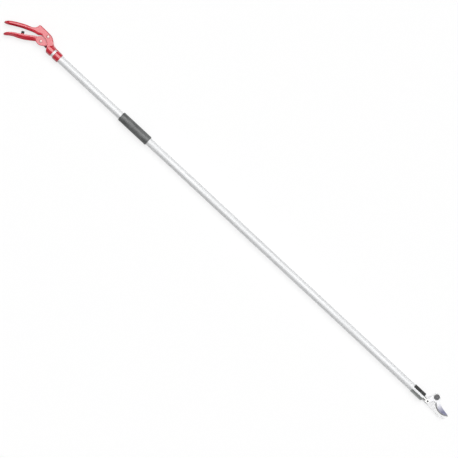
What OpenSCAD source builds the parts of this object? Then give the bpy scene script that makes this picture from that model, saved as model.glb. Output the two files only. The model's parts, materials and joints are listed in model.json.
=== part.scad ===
// Long-reach stem pruner: a trigger handle pulls a rod through a pole and closes a bypass cutting head.
// Real size in millimetres. +X runs along the pole to the head, +Z is up, and the tool lies on its side.

/* [Pole] */
// Outside diameter of the pole tube
tube_d = 22; // [21:0.5:23]
// Wall of the pole tube
tube_wall = 1.2; // [1:0.1:1.5]
// Length of tube seen between the handle collar and the ferrule
pole_reach = 1302; // [900:1:1800]
// Distance from the handle collar to the hand sleeve
sleeve_start = 226; // [60:1:400]
// Length of the hand sleeve
sleeve_len = 100; // [70:1:160]
// Wall of the hand sleeve, outside the pole
sleeve_wall = 2.5; // [2.3:0.1:2.5]

/* [Handle] */
// How far each flat cheek of the handle body stands out past the rings
cheek_proud = 0.3; // [0.2:0.1:0.7]
// Thickness of each cheek
cheek = 4.3; // [3.6:0.1:4.3]
// Wall of the two rings that grip the pole
ring_wall = 2.3; // [2:0.1:2.5]
// Squeeze of the trigger from open to closed, in degrees
trigger_travel = 11; // [6:0.5:11]
// Diameter of the pin that the trigger turns on
fulcrum_d = 6; // [5:0.1:6]
// Diameter of the pin that joins the trigger to the rod
rod_pin_d = 6; // [5:0.1:6]
// Diameter of the rubber bumper on the trigger
bumper_d = 8.4; // [6:0.1:8.6]
// Height of the rubber bumper
bumper_h = 6.3; // [4:0.1:6.3]

/* [Rod] */
// Diameter of the pull rod
rod_d = 6; // [5:0.1:6]
// Diameter of the rod end at the cutting head
rod_end_d = 8.4; // [8:0.1:8.6]
// Number of guide discs inside the pole
guide_count = 3; // [2:1:5]
// Wire diameter of the return spring
wire_d = 1.6; // [1.2:0.1:2]
// Number of coils in the return spring
spring_turns = 9; // [6:1:12]

/* [Cutting head] */
// Length of the two ferrule shells
ferrule_len = 38; // [36:1:44]
// Wall of the two ferrule shells, outside the pole
ferrule_wall = 1.25; // [1.2:0.05:1.75]
// Distance from the pole's middle to the long edge of the black ferrule shell
cap_edge = 3.2; // [2:0.1:5]
// Distance from the pole's middle to the long edge of the grey ferrule shell
saddle_edge = 3.4; // [2:0.1:5]
// Thickness of the fixed hook plate
hook_t = 3.3; // [3:0.1:3.4]
// Thickness of the cutting blade
blade_t = 3; // [2.5:0.1:3]
// Radius of the cutting edge's arc
edge_r = 34.6; // [34:0.1:36]
// Width of the ground bevel along the cutting edge
bevel_w = 3.4; // [2:0.1:4]
// Thread diameter of the pivot bolt
bolt_d = 8; // [7:0.1:8]
// Diameter of the serrated pivot nut
nut_d = 16.4; // [15:0.1:18]
// Height of the serrated pivot nut
nut_h = 5.5; // [4:0.1:6]
// Number of serrations around the nut
nut_teeth = 24; // [16:1:32]

/* [Fits] */
// Radial clearance of a turning or sliding fit
run_gap = 0.06; // [0.03:0.01:0.1]
// Radial clearance of a fixed seat
seat_gap = 0.02; // [0.01:0.01:0.04]
// Radial clearance of the slipped-on hand sleeve
sleeve_gap = 0.1; // [0.05:0.01:0.2]
// Gap between flat faces that slide past each other
face_gap = 0.1; // [0.05:0.01:0.15]
// Room left around a pin that swings in a slot
slot_gap = 0.15; // [0.1:0.01:0.25]

/* [Hidden] */
$fn = 64;
tube_r = tube_d / 2;
bore_r = tube_r - tube_wall;
sleeve_r = tube_r + sleeve_wall;
ring_r = tube_r + ring_wall;
ferrule_r = tube_r + ferrule_wall;
rod_r = rod_d / 2;
head_x = pole_reach + ferrule_len;

// Handle stations along the pole, measured back from the collar's front face
collar_len = 18.8;
ring_front = -25.6;
ring_back = -43.6;
tube_back = -38;
fulcrum = [-63.1, 22.5];
rod_pin_at = [-69.8, 0];
body_half = ring_r + cheek_proud;
cheek_in = body_half - cheek;
lobe_out = cheek_in - 0.8;
lobe_in = lobe_out - 3.5;
eye_half = lobe_in - 0.4;
fulcrum_r = fulcrum_d / 2;
pin_r = rod_pin_d / 2;
washer_t = cheek_in - lobe_out - 2 * face_gap;

// Walls of the two levers, the pins' heads and washers, and the bumper's stem
lever_wall = 3.2;
trigger_wall = 2.8;
trigger_boss_r = 5.1;
rivet_sink = 2;
fulcrum_head_r = 4.6;
bush_wall = 1.7;
side_washer_r = 5;
pin_head_r = 3.8;
pin_washer_r = 5.4;
pin_washer_t = 0.7;
bumper_stem_r = 1.8;
bumper_stem_h = 5.8;

// The rod's handle end: its eye, the nut that locks the eye, and what stands on the rod in the tube
rod_back = -59.9;
eye_front = -52;
eye_r = 6.2;
eye_neck_r = 4.5;
locknut_h = 4.4;
guide_len = 10;
spring_collar_len = 6;

// Cutting head levels, measured from the pole's axis, and the pivots, measured from the ferrule's end
pivot = [27.5, 25.2];
blade_pin_at = [16.5, 0];
blade_pin_r = 2.7;
rod_end_r = rod_end_d / 2;
hook_top = -rod_end_r - 0.8;
hook_low = hook_top - hook_t;
blade_low = hook_top + face_gap;
blade_top = blade_low + blade_t;
tab_low = blade_top + 2 * face_gap;
tab_top = tab_low + 3;
washer_top = blade_top + 1 + face_gap / 2;
bolt_r = bolt_d / 2;
bolt_head_r = 7.8;
bolt_head_h = 3.8;
bolt_chamfer = 0.8;
pivot_washer_r = 8.9;
blade_boss_r = 9.6;
tail_r = 5.7;
shank_half = 4.9;
shank_len = 25.8;
plug_len = 40;
rod_end_back = -22;
rod_front = -8;
through = 30;

// How far the rod and the blade go for a full squeeze
rod_travel = (fulcrum[1] - rod_pin_at[1]) * trigger_travel * PI / 180;
blade_travel = rod_travel / (pivot[1] - blade_pin_at[1]) * 180 / PI;

// Overall box of the tool, used to put the origin under its middle on the floor
lever_tip_x = -178.4;
trigger_tip_y = -56.6;
blade_tip_x = 84.6;
boss_r = 10.3;
x_mid = (lever_tip_x + head_x + blade_tip_x) / 2;
y_mid = (trigger_tip_y + pivot[1] + boss_r) / 2;

// Fixed lever and trigger along their middle lines: x, y, depth, half width, edge radius, web
lever_rows = [
    [-94, 15.6, 10.0, 13.2, 2.0, 3.0],
    [-104, 11.1, 9.6, 13.1, 2.6, 3.0],
    [-117, 5.0, 9.2, 12.6, 3.8, 3.0],
    [-132, -2.2, 9.0, 12.0, 4.8, 3.0],
    [-148, -10.4, 9.0, 11.4, 5.2, 3.0],
    [-160, -17.2, 8.8, 10.8, 5.2, 3.0],
    [-169.5, -23.6, 8.0, 9.8, 4.8, 3.6],
    [-175.5, -28.2, 5.2, 7.2, 3.2, 4.4],
    [-177.6, -29.9, 2.2, 3.4, 1.3, 1.8],
];
trigger_rows = [
    [-79, -2.0, 14.0, 8.1, 3.0, 3.0],
    [-87.4, -5.8, 13.2, 8.2, 3.4, 3.0],
    [-100, -14.7, 12.8, 8.6, 4.4, 3.0],
    [-113.4, -24.0, 12.0, 9.0, 5.0, 3.0],
    [-127, -31.6, 10.4, 9.2, 5.0, 3.0],
    [-138.6, -37.7, 8.8, 9.0, 4.6, 3.0],
    [-148.5, -45.4, 7.4, 8.4, 4.0, 3.6],
    [-154.8, -51.4, 5.8, 7.0, 3.0, 5.0],
    [-157.6, -54.6, 2.6, 3.8, 1.4, 2.2],
];
bumper_at = [-116.5, -26.0];
bumper_turn = 119.2;
bumper_boss_h = 8.9;

// Outlines of the body, the trigger's lobes, the hook and the blade
body_top = [
    [-37.2, 12.0], [-40.5, 19.2], [-48, 25.0], [-56.3, 29.6], [-70, 30.9], [-88, 31.4], [-98.6, 31.2],
    [-101.6, 29.4], [-102.0, 25.4], [-103.2, 21.0], [-106.6, 16.2], [-111, 13.2],
];
body_under = [
    [-108.4, 5.4], [-102.8, 7.0], [-90, 10.4], [-79, 13.8], [-66, 12.8], [-56.3, 8.6], [-49.2, 2.4],
    [-45.4, -4.5], [-43.0, -9.4], [-40.2, -12.2], [-37.2, -12.6],
];
lobe_edge = [
    [-68.0, 23.4], [-74.6, 15.2], [-80.2, 9.0], [-84.2, 3.6], [-84.6, -3.4], [-81.6, -8.4], [-76.4, -10.6],
    [-70.6, -11.4], [-64.8, -10.0], [-59.0, -6.6], [-53.4, -1.8], [-49.4, 3.6], [-50.0, 8.4], [-53.4, 15.4],
    [-58.2, 23.4],
];
hook_outer = [
    [2, -8.2], [14, -8.4], [30, -8.5], [44, -8.9], [56, -10.6], [66, -10.6], [74, -8.8], [79.2, -5.8],
    [81.2, -3.2],
];
hook_inner = [
    [80.2, -2.4], [71.3, -5.0], [63, -6.5], [55, -6.6], [48, -4.6], [41.6, 0.2], [37, 5.6], [33.7, 10.6],
    [33.5, 17],
];
edge_low = [61.7, -1.8];
edge_start = 35.5;
blade_back = [
    [87.6, 4.4], [84.6, 6.8], [82.4, 8.6], [76, 10.1], [66, 12.0], [54, 15.0], [45, 19.4], [38.8, 24.8],
    [36.2, 29],
];
blade_throat = [[22.2, 0.6], [24.4, 5.4], [27.6, 10.4], [31.4, 12.9], [34.6, 12.1]];

echo(shift = [-x_mid, -y_mid, body_half], rod_travel = rod_travel, blade_travel = blade_travel);

// Smooth curve through control rows of any width
function blend4(a, b, c, d, t) =
    0.5 * (2 * b + (c - a) * t + (2 * a - 5 * b + 4 * c - d) * t * t + (3 * b - a - 3 * c + d) * t * t * t);
function row(p, i) = p[max(0, min(len(p) - 1, i))];
function curve(p, n) = concat(
    [
        for (i = [0:len(p) - 2]) for (k = [0:n - 1])
            blend4(row(p, i - 1), p[i], p[i + 1], row(p, i + 2), k / n)
    ],
    [p[len(p) - 1]]
);
function loop(p, n) = let (m = len(p)) [
    for (i = [0:m - 1]) for (k = [0:n - 1])
        blend4(p[(i + m - 1) % m], p[i], p[(i + 1) % m], p[(i + 2) % m], k / n)
];
function turned(v, a) = [v[0] * cos(a) - v[1] * sin(a), v[0] * sin(a) + v[1] * cos(a)];

// Where a pin of the rod stands in a turning piece once the squeeze is complete
function swing(pin, centre, turn) = centre + turned(pin - [rod_travel, 0] - centre, turn);

// Half of a lever's section, from its lip to the middle of its web: across, and up from the middle line
corner_steps = 5;
function half_out(w, d, r) = concat(
    [[w, d / 2]],
    [
        for (k = [0:corner_steps]) let (a = -90 * k / corner_steps)
            [w - r + r * cos(a), r * (1 + sin(a)) - d / 2]
    ],
    [[0, -d / 2]]
);
function half_in(w, d, r, wall, web) = let (
    wi = w - min(wall, w - 0.8),
    floor_y = web - d / 2,
    ri = min(max(0.4, r - wall), 0.9 * (d / 2 - floor_y), 0.9 * wi)
) concat(
    [[wi, d / 2]],
    [
        for (k = [0:corner_steps]) let (a = -90 * k / corner_steps)
            [wi - ri + ri * cos(a), floor_y + ri * (1 + sin(a))]
    ],
    [[0, floor_y]]
);
function both(h) = concat(h, [for (i = [len(h) - 2:-1:0]) [-h[i][0], h[i][1]]]);
function backwards(p) = [for (i = [len(p) - 1:-1:0]) p[i]];

// A cast lever: a channel section swept along its rows, with its tip closed. side 1 opens to the path's left.
module lever(rows, wall, side) {
    path = curve(rows, 3);
    last = len(path) - 1;
    m = 2 * (corner_steps + 3) - 1;
    points = [
        for (i = [0:last])
            let (
                s = path[i],
                t = row(path, i + 1) - row(path, i - 1),
                long = sqrt(t[0] * t[0] + t[1] * t[1]),
                n = side * [-t[1], t[0]] / long,
                outside = both(half_out(s[3], s[2], s[4])),
                inside = both(half_in(s[3], s[2], s[4], wall, s[5])),
                ring = concat(outside, backwards(inside))
            )
            for (q = ring) [s[0] + n[0] * q[1], s[1] + n[1] * q[1], q[0]]
    ];
    walls = [
        for (i = [0:last - 1]) for (j = [0:2 * m - 1])
            let (a = i * 2 * m + j, b = i * 2 * m + (j + 1) % (2 * m))
            each [[a, a + 2 * m, b + 2 * m], [a, b + 2 * m, b]]
    ];
    cap = [for (j = [0:m - 2]) each [[j, j + 1, 2 * m - 2 - j], [j, 2 * m - 2 - j, 2 * m - 1 - j]]];
    far = last * 2 * m;
    faces = concat(walls, cap, [for (f = cap) [far + f[2], far + f[1], far + f[0]]]);
    polyhedron(points, side > 0 ? faces : [for (f = faces) backwards(f)], convexity = 6);
}

// Solid round along the pole, and along the hinge direction
module bar(x0, x1, r) {
    translate([x0, 0, 0])
        rotate([0, 90, 0])
            cylinder(h = x1 - x0, r = r);
}

module post(at, z0, z1, r) {
    translate([at[0], at[1], z0])
        cylinder(h = z1 - z0, r = r);
}

module slab(z0, z1) {
    translate([0, 0, z0])
        linear_extrude(height = z1 - z0)
            children();
}

// A round-ended slot from one pin position to another
function slot_edge(from, to, r) = let (way = to - from, a = atan2(way[1], way[0])) [
    for (k = [0:25])
        let (turn = a - 90 + (k < 13 ? 15 * k : 15 * (k - 1)))
        (k < 13 ? to : from) + r * [cos(turn), sin(turn)]
];

module slot(from, to, r, z0, z1) {
    slab(z0, z1)
        polygon(slot_edge(from, to, r));
}

// A turned ring on the pole with broken edges
module turned_ring(x0, x1, r, bore, edge) {
    translate([x0, 0, 0])
        rotate([0, 90, 0])
            rotate_extrude()
                polygon([
                    [bore, 0], [r - edge, 0], [r, edge],
                    [r, x1 - x0 - edge], [r - edge, x1 - x0], [bore, x1 - x0],
                ]);
}

module placed() {
    translate([-x_mid, -y_mid, body_half])
        children();
}

module at_head() {
    translate([head_x, 0, 0])
        children();
}

// Radial screw places in the two handle rings, and along the ferrule
ring_screw_x = [-9.4, -31.6];
ring_screw_r = 2.4;
ferrule_screw_x = [head_x - 28, head_x - 10];
ferrule_screw_r = 1.5;
screw_root = 5.7;
screw_recess = 0.12;
screw_socket_r = 1.2;

module screw_row(r, y0, y1) {
    for (x = ferrule_screw_x, side = [0, 180])
        translate([x, 0, 0])
            rotate([side, 0, 0])
                rotate([-90, 0, 0])
                    translate([0, 0, y0])
                        cylinder(h = y1 - y0, r = r);
}

module pole_tube() {
    color([0.83, 0.84, 0.85])
        placed()
            difference() {
                bar(tube_back, head_x, tube_r);
                bar(tube_back - 1, head_x + 1, bore_r);
                screw_row(ferrule_screw_r + 0.1, screw_root, tube_r + 1);
            }
}

module foam_sleeve() {
    round_r = 2;
    wall = sleeve_wall - sleeve_gap;
    color([0.42, 0.43, 0.44])
        placed()
            translate([sleeve_start, 0, 0])
                rotate([0, 90, 0])
                    rotate_extrude()
                        translate([tube_r + sleeve_gap, 0])
                            intersection() {
                                square([wall, sleeve_len]);
                                union() {
                                    square([wall - round_r, sleeve_len]);
                                    translate([0, round_r])
                                        square([wall, sleeve_len - 2 * round_r]);
                                    for (y = [round_r, sleeve_len - round_r])
                                        translate([wall - round_r, y])
                                            circle(r = round_r);
                                }
                            }
}

// The pocket between the cheeks, where the trigger's lobes and the rod's eye move
body_pocket = [
    [-92, -20], [-92, 20], [-86, 28.2], [-66, 28.4], [-56, 27.2], [-46, 19.5], [-45.6, -20],
];

// The rear ring's back edge slopes off under the lobes, in degrees
ring_slope = 28;

// The body's spine reaches forward over the bare band of tube as a key for the front collar
key_half = 4;
key_low = tube_r + 0.2;
key_top = ring_r + 0.2;
key_front = -9.6;

module handle_body() {
    color([0.78, 0.1, 0.16])
        placed()
            difference() {
                union() {
                    difference() {
                        slab(-body_half, body_half)
                            polygon(concat(curve(body_top, 4), curve(body_under, 4)));
                        slab(-cheek_in, cheek_in)
                            polygon(body_pocket);
                    }
                    lever(lever_rows, lever_wall, 1);
                    bar(ring_back, ring_front, ring_r);
                    slab(-key_half, key_half)
                        polygon([
                            [-46, 20], [-41.5, 19.4], [-37, 16.4], [-31, key_top + 1], [-25.6, key_top],
                            [key_front, key_top], [key_front, key_low], [-46, key_low],
                        ]);
                }
                bar(tube_back, ring_front + 1, tube_r + seat_gap);
                bar(ring_back - 3, tube_back + 1, rod_r + 3.5);
                translate([ring_back + 3, -ring_r, -ring_r - 1])
                    rotate([0, 0, ring_slope])
                        translate([-ring_r, -ring_r / 2, 0])
                            cube([ring_r, 1.2 * ring_r, 2 * ring_r + 2]);
                post(fulcrum, -body_half - 1, body_half + 1, fulcrum_r + seat_gap);
                translate([fulcrum[0], fulcrum[1], -body_half])
                    cylinder(
                        h = rivet_sink, r1 = fulcrum_r + rivet_sink + seat_gap, r2 = fulcrum_r + seat_gap
                    );
                translate([ring_screw_x[1], 0, -ring_r - 1])
                    cylinder(h = ring_r, r = ring_screw_r + seat_gap);
            }
}

module front_collar() {
    color([0.78, 0.1, 0.16])
        placed()
            difference() {
                turned_ring(-collar_len, 0, ring_r, tube_r + seat_gap, 0.9);
                translate([-collar_len - 1, tube_r - 1, -key_half - face_gap])
                    cube([collar_len + key_front + 1 + face_gap, ring_wall + 2, 2 * (key_half + face_gap)]);
                translate([ring_screw_x[0], 0, -ring_r - 1])
                    cylinder(h = ring_r, r = ring_screw_r + seat_gap);
            }
}

module collar_screws() {
    color([0.25, 0.25, 0.26])
        placed()
            for (x = ring_screw_x)
                translate([x, 0, -ring_r + 0.4])
                    difference() {
                        cylinder(h = ring_r - 0.4 - tube_r - seat_gap, r = ring_screw_r);
                        translate([0, 0, -1])
                            cylinder(h = 2.2, r = screw_socket_r, $fn = 6);
                    }
}

module trigger() {
    closed_pin = swing(rod_pin_at, fulcrum, trigger_travel);
    color([0.76, 0.1, 0.17])
        placed()
            difference() {
                union() {
                    lever(trigger_rows, trigger_wall, -1);
                    for (z = [lobe_in, -lobe_out]) {
                        slab(z, z + lobe_out - lobe_in)
                            polygon(loop(lobe_edge, 4));
                        post(fulcrum, z, z + lobe_out - lobe_in, trigger_boss_r);
                    }
                    translate([bumper_at[0], bumper_at[1], 0])
                        rotate([0, 0, bumper_turn])
                            bar(-4.5, bumper_boss_h, bumper_d / 2 + 0.2);
                }
                post(fulcrum, -body_half, body_half, fulcrum_r + run_gap);
                slot(rod_pin_at, closed_pin, pin_r + slot_gap, -body_half, body_half);
                translate([bumper_at[0], bumper_at[1], 0])
                    rotate([0, 0, bumper_turn])
                        bar(bumper_boss_h - bumper_stem_h - 0.2, bumper_boss_h + 1, bumper_stem_r + seat_gap);
            }
}

module fulcrum_pin() {
    color([0.86, 0.84, 0.83])
        placed()
            translate([fulcrum[0], fulcrum[1], 0])
                rotate_extrude()
                    polygon([
                        [0, -body_half], [fulcrum_r + rivet_sink, -body_half],
                        [fulcrum_r, -body_half + rivet_sink], [fulcrum_r, body_half + face_gap / 2],
                        [fulcrum_head_r, body_half + face_gap / 2], [fulcrum_head_r, body_half + 0.6],
                        [4.0, body_half + 1.1], [2.6, body_half + 1.5], [0, body_half + 1.6],
                    ]);
}

module fulcrum_bush() {
    color([0.72, 0.6, 0.38])
        placed()
            difference() {
                post(fulcrum, -lobe_in + face_gap, lobe_in - face_gap, fulcrum_r + bush_wall);
                post(fulcrum, -lobe_in - 1, lobe_in + 1, fulcrum_r + run_gap);
            }
}

module side_washers() {
    color([0.9, 0.9, 0.88])
        placed()
            for (z = [lobe_out + face_gap, -lobe_out - face_gap - washer_t])
                difference() {
                    post(fulcrum, z, z + washer_t, side_washer_r);
                    post(fulcrum, z - 1, z + washer_t + 1, fulcrum_r + run_gap);
                }
}

// The rod's pins stand in its eye and its end, and swing in slots of the trigger and the blade
module rod_pin() {
    head_low = lobe_out + 2 * face_gap + pin_washer_t;
    color([0.87, 0.85, 0.84])
        placed()
            translate([rod_pin_at[0], rod_pin_at[1], 0])
                rotate_extrude()
                    polygon([
                        [0, -head_low - 1.4], [2.4, -head_low - 1.3], [pin_head_r, -head_low - 0.6],
                        [pin_head_r, -head_low], [pin_r, -head_low], [pin_r, head_low],
                        [pin_head_r, head_low], [pin_head_r, head_low + 0.6],
                        [2.4, head_low + 1.3], [0, head_low + 1.4],
                    ]);
}

module pin_washers() {
    color([0.78, 0.1, 0.16])
        placed()
            for (z = [lobe_out + face_gap, -lobe_out - face_gap - pin_washer_t])
                difference() {
                    post(rod_pin_at, z, z + pin_washer_t, pin_washer_r);
                    post(rod_pin_at, z - 1, z + pin_washer_t + 1, pin_r + seat_gap);
                }
}

module rod_eye() {
    color([0.3, 0.3, 0.31])
        placed()
            difference() {
                union() {
                    post(rod_pin_at, -eye_half, eye_half, eye_r);
                    bar(rod_pin_at[0], eye_front, eye_neck_r);
                }
                post(rod_pin_at, -body_half, body_half, pin_r + seat_gap);
                bar(rod_back - 0.1, eye_front + 1, rod_r + seat_gap);
            }
}

module rod_locknut() {
    across_flats = 2 * (lobe_in - 0.5);
    color([0.3, 0.3, 0.31])
        placed()
            difference() {
                translate([eye_front + face_gap, 0, 0])
                    rotate([0, 90, 0])
                        rotate([0, 0, 30])
                            cylinder(h = locknut_h, r = across_flats / 2 / cos(30), $fn = 6);
                bar(eye_front - 1, eye_front + locknut_h + 2, rod_r + seat_gap);
            }
}

module pull_rod() {
    color([0.3, 0.3, 0.31])
        placed()
            bar(rod_back, head_x + rod_front, rod_r);
}

module rod_guides() {
    color([0.92, 0.92, 0.9])
        placed()
            for (i = [1:guide_count])
                let (x = pole_reach * i / (guide_count + 1))
                    difference() {
                        bar(x, x + guide_len, bore_r - seat_gap);
                        bar(x - 1, x + guide_len + 1, rod_r + run_gap);
                    }
}

// The return spring stands between the fixed bush in the tube and the collar on the rod
bush_front = -28;
spring_end = 22;

module rear_bush() {
    color([0.92, 0.92, 0.9])
        placed()
            difference() {
                bar(tube_back + 0.5, bush_front, bore_r - seat_gap);
                bar(tube_back - 1, bush_front + 1, rod_r + run_gap);
            }
}

module spring_collar() {
    color([0.62, 0.62, 0.63])
        placed()
            difference() {
                bar(spring_end, spring_end + spring_collar_len, bore_r - tube_wall);
                bar(spring_end - 1, spring_end + spring_collar_len + 1, rod_r + seat_gap);
            }
}

coil_r = (bore_r + rod_r) / 2;
coil_x0 = bush_front + wire_d / 2 + 0.2;
coil_x1 = spring_end - wire_d / 2 - 0.2;
coil_steps = 14;
coil_sides = 8;
function coil_at(s) = let (a = 360 * spring_turns * s)
    [coil_x0 + (coil_x1 - coil_x0) * s, coil_r * cos(a), coil_r * sin(a)];
coil_line = [for (i = [0:spring_turns * coil_steps]) coil_at(i / (spring_turns * coil_steps))];
coil_gap = min([
    for (i = [0:len(coil_line) - 1]) for (j = [i + 7:len(coil_line) - 1])
        norm(coil_line[i] - coil_line[j])
]) - wire_d;
echo(spring_least_gap = coil_gap);

module return_spring() {
    n = len(coil_line);
    points = [
        for (i = [0:n - 1]) for (k = [0:coil_sides - 1])
            let (
                c = coil_line[i],
                a = 360 * spring_turns * i / (n - 1),
                b = 360 * k / coil_sides,
                out = wire_d / 2 * cos(b)
            )
            [c[0] + wire_d / 2 * sin(b), c[1] + out * cos(a), c[2] + out * sin(a)]
    ];
    walls = [
        for (i = [0:n - 2]) for (k = [0:coil_sides - 1])
            let (a = i * coil_sides + k, b = i * coil_sides + (k + 1) % coil_sides)
            each [[a, a + coil_sides, b + coil_sides], [a, b + coil_sides, b]]
    ];
    far = (n - 1) * coil_sides;
    ends = [for (k = [1:coil_sides - 2]) each [[0, k, k + 1], [far, far + k + 1, far + k]]];
    color([0.55, 0.56, 0.58])
        placed()
            polyhedron(points, concat(walls, ends), convexity = 10);
}

module stop_bumper() {
    r = bumper_d / 2;
    low = bumper_boss_h + seat_gap;
    color([0.08, 0.07, 0.07])
        placed()
            translate([bumper_at[0], bumper_at[1], 0])
                rotate([0, 0, bumper_turn])
                    rotate([0, 90, 0])
                        rotate_extrude()
                            polygon([
                                [0, bumper_boss_h - bumper_stem_h],
                                [bumper_stem_r, bumper_boss_h - bumper_stem_h],
                                [bumper_stem_r, low], [r, low],
                                [r, low + bumper_h - 1.2], [r - 0.4, low + bumper_h - 0.4],
                                [r - 1.2, low + bumper_h], [0, low + bumper_h],
                            ]);
}

module head_plug() {
    color([0.5, 0.51, 0.52])
        placed()
            difference() {
                bar(head_x - plug_len, head_x + 1, bore_r - seat_gap);
                bar(head_x - plug_len - 1, head_x + 2, rod_end_r + run_gap);
                at_head()
                    translate([-shank_len - 0.2, -shank_half - seat_gap, hook_low - seat_gap])
                        cube([shank_len + 4, 2 * (shank_half + seat_gap), hook_t + 2 * seat_gap]);
                screw_row(ferrule_screw_r + seat_gap, screw_root - 0.2, tube_r);
            }
}

module ferrule_shell() {
    cone_h = ferrule_wall + 1;
    hole_r = ferrule_screw_r + seat_gap;
    difference() {
        turned_ring(head_x - ferrule_len, head_x, ferrule_r, tube_r + seat_gap, 0.6);
        screw_row(hole_r, screw_root, ferrule_r + 1);
        for (x = ferrule_screw_x, side = [0, 180])
            translate([x, 0, 0])
                rotate([side - 90, 0, 0])
                    translate([0, 0, tube_r + seat_gap])
                        cylinder(h = cone_h, r1 = hole_r, r2 = hole_r + cone_h);
    }
}

module ferrule_saddle() {
    color([0.52, 0.54, 0.53])
        placed()
            intersection() {
                ferrule_shell();
                translate([head_x - ferrule_len - 1, -2 * ferrule_r, -2 * ferrule_r])
                    cube([ferrule_len + 2, 2 * ferrule_r - saddle_edge, 4 * ferrule_r]);
            }
}

module ferrule_cap() {
    color([0.1, 0.1, 0.1])
        placed()
            intersection() {
                ferrule_shell();
                translate([head_x - ferrule_len - 1, cap_edge, -2 * ferrule_r])
                    cube([ferrule_len + 2, 2 * ferrule_r, 4 * ferrule_r]);
            }
}

module ferrule_screws() {
    seat = tube_r + seat_gap;
    sink = ferrule_r - screw_recess - seat;
    color([0.3, 0.3, 0.31])
        placed()
            for (x = ferrule_screw_x, side = [0, 180])
                translate([x, 0, 0])
                    rotate([side - 90, 0, 0])
                        difference() {
                            rotate_extrude()
                                polygon([
                                    [0, screw_root], [ferrule_screw_r, screw_root], [ferrule_screw_r, seat],
                                    [ferrule_screw_r + sink, seat + sink], [0, seat + sink],
                                ]);
                            translate([0, 0, seat])
                                cylinder(h = 2 * sink, r = screw_socket_r, $fn = 6);
                        }
}

module hook_blade() {
    color([0.86, 0.87, 0.88])
        placed()
            at_head()
                difference() {
                    union() {
                        slab(hook_low, hook_top)
                            polygon(concat(
                                [[-shank_len, shank_half], [-shank_len, -shank_half], [1.8, -shank_half]],
                                curve(hook_outer, 3),
                                curve(hook_inner, 3),
                                [[31, 25], [22, 27.5]],
                                curve([[17.8, 21.8], [13.4, 15.6], [8.4, 10.6], [2, 7.6]], 3),
                                [[1.8, shank_half]]
                            ));
                        post(pivot, hook_low, hook_top, boss_r);
                    }
                    post(pivot, -through, through, bolt_r + seat_gap);
                }
}

// What the grinding of the cutting edge takes away: all outside its arc, and a slope along it
module ground_edge() {
    edge_t = 0.35;
    rise = blade_t - edge_t;
    over = 1.2;
    intersection() {
        translate([edge_low[0], edge_low[1] + edge_r, blade_low])
            rotate_extrude()
                polygon([
                    [edge_r, -1], [edge_r, edge_t], [edge_r - over * bevel_w, edge_t + over * rise],
                    [edge_r + 20, edge_t + over * rise], [edge_r + 20, -1],
                ]);
        translate([edge_start, edge_low[1] - 10, blade_low - 2])
            cube([60, 30, blade_t + 4]);
    }
}

module cutting_blade() {
    closed_pin = swing(blade_pin_at, pivot, blade_travel);
    tail = (blade_pin_at + closed_pin) / 2;
    color([0.62, 0.62, 0.68])
        placed()
            at_head()
                difference() {
                    union() {
                        slab(blade_low, blade_top)
                            polygon(concat(
                                [[edge_start, 10.6], [edge_start, edge_low[1] - 4], [87.6, edge_low[1] - 4]],
                                curve(blade_back, 3),
                                [[27.5, 32.5], [18.6, 28], [11.4, 2.4], [tail[0], tail[1]]],
                                curve(blade_throat, 3)
                            ));
                        post(pivot, blade_low, blade_top, blade_boss_r);
                        post(tail, blade_low, blade_top, tail_r);
                    }
                    post(pivot, -through, through, bolt_r + run_gap);
                    slot(blade_pin_at, closed_pin, blade_pin_r + slot_gap, -through, through);
                    ground_edge();
                }
}

module pivot_bolt() {
    color([0.3, 0.3, 0.31])
        placed()
            at_head() {
                translate([pivot[0], pivot[1], hook_low - bolt_head_h])
                    cylinder(h = bolt_head_h - face_gap / 2, r = bolt_head_r, $fn = 6);
                post(pivot, hook_low - bolt_head_h + bolt_chamfer, washer_top + nut_h + 0.2, bolt_r);
                translate([pivot[0], pivot[1], washer_top + nut_h + 0.2])
                    cylinder(h = bolt_chamfer, r1 = bolt_r, r2 = bolt_r - bolt_chamfer);
            }
}

module pivot_washer() {
    color([0.75, 0.75, 0.76])
        placed()
            at_head()
                difference() {
                    post(pivot, blade_top + face_gap / 2, washer_top, pivot_washer_r);
                    post(pivot, -through, through, bolt_r + run_gap);
                }
}

module pivot_nut() {
    tooth = 0.55;
    low = washer_top + face_gap / 2;
    r = nut_d / 2;
    color([0.36, 0.36, 0.37])
        placed()
            at_head()
                translate([pivot[0], pivot[1], low])
                    difference() {
                        intersection() {
                            linear_extrude(height = nut_h - face_gap)
                                polygon([
                                    for (i = [0:4 * nut_teeth - 1])
                                        let (a = 90 * (i + 0.5) / nut_teeth, q = i % 4 < 2 ? r : r - tooth)
                                        [q * cos(a), q * sin(a)]
                                ]);
                            rotate_extrude()
                                polygon([
                                    [0, 0], [r + 0.1, 0], [r + 0.1, nut_h - face_gap - 1.1],
                                    [r - 1.1, nut_h - face_gap], [0, nut_h - face_gap],
                                ]);
                        }
                        translate([0, 0, -1])
                            cylinder(h = nut_h + 2, r = bolt_r + seat_gap);
                        translate([0, 0, nut_h - face_gap - 0.7])
                            difference() {
                                cylinder(h = 2, r = r - 2.2);
                                translate([0, 0, -1])
                                    cylinder(h = 4, r = bolt_r + 0.9);
                            }
                    }
}

module rod_end() {
    tab_half = rod_end_r + 0.8;
    color([0.6, 0.61, 0.62])
        placed()
            at_head()
                difference() {
                    union() {
                        bar(rod_end_back, 10.2, rod_end_r);
                        slab(tab_low, tab_top) {
                            translate([7, -tab_half])
                                square([blade_pin_at[0] - 7, 2 * tab_half]);
                            translate(blade_pin_at)
                                circle(r = tab_half);
                        }
                    }
                    bar(rod_end_back - 1, rod_front + 0.1, rod_r + seat_gap);
                    post(blade_pin_at, tab_low - 1, tab_top + 1, blade_pin_r + seat_gap);
                }
}

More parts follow.
